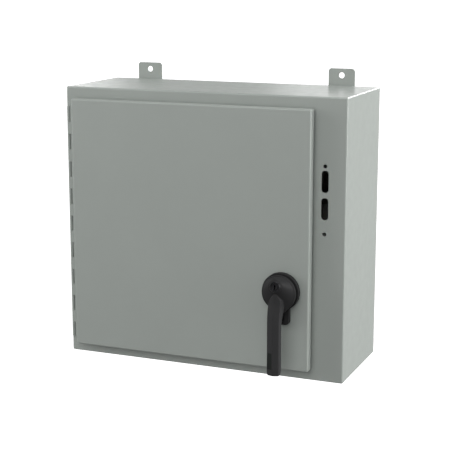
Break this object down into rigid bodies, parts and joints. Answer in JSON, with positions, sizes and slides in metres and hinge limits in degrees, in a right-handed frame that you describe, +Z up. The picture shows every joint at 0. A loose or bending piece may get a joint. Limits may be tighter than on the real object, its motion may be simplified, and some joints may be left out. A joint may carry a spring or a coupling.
{
  "type": "fused disconnect switch",
  "caption": "Wall-mount grey steel disconnect enclosure: hinged door with lockable lever latch, flange cut-outs for an operator, and a fused knife switch inside.",
  "frame": {"origin": "on the wall plane, at the centre of the four mounting holes", "axes": "+X right seen from the front, -Y out through the door, +Y into the wall, +Z up"},
  "size_m": [0.543, 0.2752, 0.5716],
  "materials": {
    "grey_paint": "light grey powder coat, semi-gloss, fine texture",
    "panel_paint": "white powder coat",
    "zinc_steel": "zinc plated",
    "black_handle": "black textured coat, satin",
    "lock_metal": "blackened",
    "gasket_foam": "closed-cell foam",
    "moulded_base": "moulded thermoset",
    "rotor_insulator": "moulded red thermoset",
    "copper": "bare copper, lightly oxidised",
    "tin_plate": "tin plated",
    "fuse_fibre": "fibre tube with metal ferrules",
    "clear_shield": "clear polycarbonate",
    "spring_steel": "oiled spring steel",
    "nylon": "natural nylon",
    "pocket_plastic": "grey thermoplastic"
  },
  "bodies": {
    "cabinet": {"cabinet_shell": "grey_paint", "opening_collar": "grey_paint", "foot_top_left": "grey_paint", "foot_top_right": "grey_paint", "foot_bottom_left": "grey_paint", "foot_bottom_right": "grey_paint", "subpanel": "panel_paint", "panel_stud_1": "zinc_steel", "panel_stud_2": "zinc_steel", "panel_stud_3": "zinc_steel", "panel_stud_4": "zinc_steel", "hinge_body_leaf": "grey_paint", "hinge_pin": "zinc_steel", "switch_base": "moulded_base", "fuse_base": "moulded_base", "line_jaw_1": "copper", "line_jaw_2": "copper", "line_jaw_3": "copper", "line_lug_1": "tin_plate", "line_lug_2": "tin_plate", "line_lug_3": "tin_plate", "pivot_clip_1": "copper", "pivot_clip_2": "copper", "pivot_clip_3": "copper", "fuse_1": "fuse_fibre", "fuse_2": "fuse_fibre", "fuse_3": "fuse_fibre", "lower_clip_1": "copper", "lower_clip_2": "copper", "lower_clip_3": "copper", "load_lug_1": "tin_plate", "load_lug_2": "tin_plate", "load_lug_3": "tin_plate", "line_shield": "clear_shield", "mechanism_bracket": "zinc_steel", "torsion_spring": "spring_steel", "ground_lug": "tin_plate"},
    "door": {"door_panel": "grey_paint", "door_gasket": "gasket_foam", "hinge_door_leaf": "grey_paint", "data_pocket": "pocket_plastic", "escutcheon": "black_handle", "latch_nut": "zinc_steel", "upper_rod_guide": "zinc_steel", "lower_rod_guide": "zinc_steel"},
    "latch_handle": {"handle": "black_handle", "latch_shaft": "zinc_steel", "latch_cam": "zinc_steel"},
    "key_cylinder": {"lock_plug": "lock_metal"},
    "upper_latch": {"upper_rod": "zinc_steel"},
    "lower_latch": {"lower_rod": "zinc_steel"},
    "upper_latch_roller": {"upper_roller": "nylon"},
    "lower_latch_roller": {"lower_roller": "nylon"},
    "switch_rotor": {"rotor_bar": "rotor_insulator", "blade_1": "copper", "blade_2": "copper", "blade_3": "copper", "operating_lever": "zinc_steel"}
  },
  "joints": [
    {"name": "door_swing", "type": "hinge", "parent": "cabinet", "child": "door", "pos_m": [-0.2655, -0.2096, 0], "axis": [0, 0, -1], "range_deg": [0, 180]},
    {"name": "handle_turn", "type": "hinge", "parent": "door", "child": "latch_handle", "pos_m": [0.1635, -0.2462, -0.0885], "axis": [0, 1, 0], "range_deg": [0, 90]},
    {"name": "key_turn", "type": "hinge", "parent": "latch_handle", "child": "key_cylinder", "pos_m": [0.1635, -0.2642, -0.0731], "axis": [0, 1, 0], "range_deg": [0, 90]},
    {"name": "upper_rod_slide", "type": "slide", "parent": "door", "child": "upper_latch", "axis": [0, 0, 1], "range_m": [-0.0285, 0]},
    {"name": "lower_rod_slide", "type": "slide", "parent": "door", "child": "lower_latch", "axis": [0, 0, 1], "range_m": [0, 0.0285]},
    {"name": "upper_roller_spin", "type": "hinge", "parent": "upper_latch", "child": "upper_latch_roller", "pos_m": [0.1805, -0.1969, 0.229], "axis": [1, 0, 0], "continuous": true},
    {"name": "lower_roller_spin", "type": "hinge", "parent": "lower_latch", "child": "lower_latch_roller", "pos_m": [0.1465, -0.1969, -0.229], "axis": [1, 0, 0], "continuous": true},
    {"name": "switch_turn", "type": "hinge", "parent": "cabinet", "child": "switch_rotor", "pos_m": [0, -0.07, 0.06], "axis": [-1, 0, 0], "range_deg": [0, 75]}
  ],
  "couplings": [
    {"joint": "upper_rod_slide", "follows": "handle_turn", "m_per_rad": -0.018},
    {"joint": "lower_rod_slide", "follows": "handle_turn", "m_per_rad": 0.018}
  ]
}
